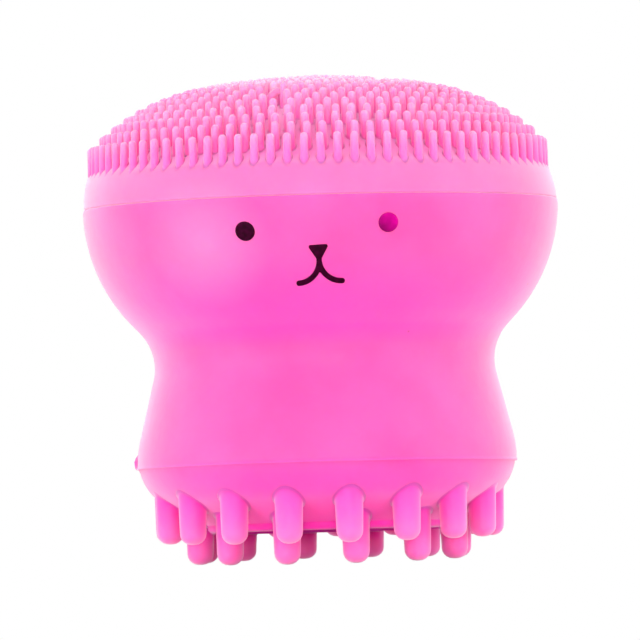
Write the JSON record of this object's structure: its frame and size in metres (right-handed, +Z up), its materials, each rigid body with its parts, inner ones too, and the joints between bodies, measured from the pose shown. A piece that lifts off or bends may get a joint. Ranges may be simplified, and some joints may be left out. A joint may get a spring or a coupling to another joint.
{
  "type": "facial cleansing brush",
  "caption": "Squeezable silicone cleansing brush: waisted cup with massage nubs below, push-in domed cap covered in short bristles, and a foaming sponge inside.",
  "frame": {"origin": "on the table plane under the tips of the inner nubs, on the brush's axis", "axes": "+Z up along the brush's axis from the nubs to the bristles, -Y towards the printed face, +X to the right of someone looking at the face"},
  "size_m": [0.056, 0.056, 0.0578],
  "materials": {
    "silicone": "soft satin silicone, moulded",
    "print_ink": "printed ink film, satin",
    "sponge_foam": "open-cell foam"
  },
  "bodies": {
    "cup": {"squeeze_cup": "silicone", "massage_nubs_outer": "silicone", "massage_nubs_inner": "silicone", "left_eye": "print_ink", "right_eye": "print_ink", "nose": "print_ink", "mouth": "print_ink"},
    "cap": {"brush_cap": "silicone", "bristles_rim": "silicone", "bristles_shoulder": "silicone", "bristles_crown": "silicone"},
    "sponge": {"foaming_sponge": "sponge_foam"}
  },
  "joints": [
    {"name": "cap_pull", "type": "slide", "parent": "cup", "child": "cap", "axis": [0, 0, 1], "range_m": [0, 0.04]},
    {"name": "sponge_lift", "type": "slide", "parent": "cup", "child": "sponge", "axis": [0, 0, 1], "range_m": [0, 0.018]}
  ],
  "couplings": [
    {"joint": "sponge_lift", "follows": "cap_pull", "ratio": 0.45}
  ]
}
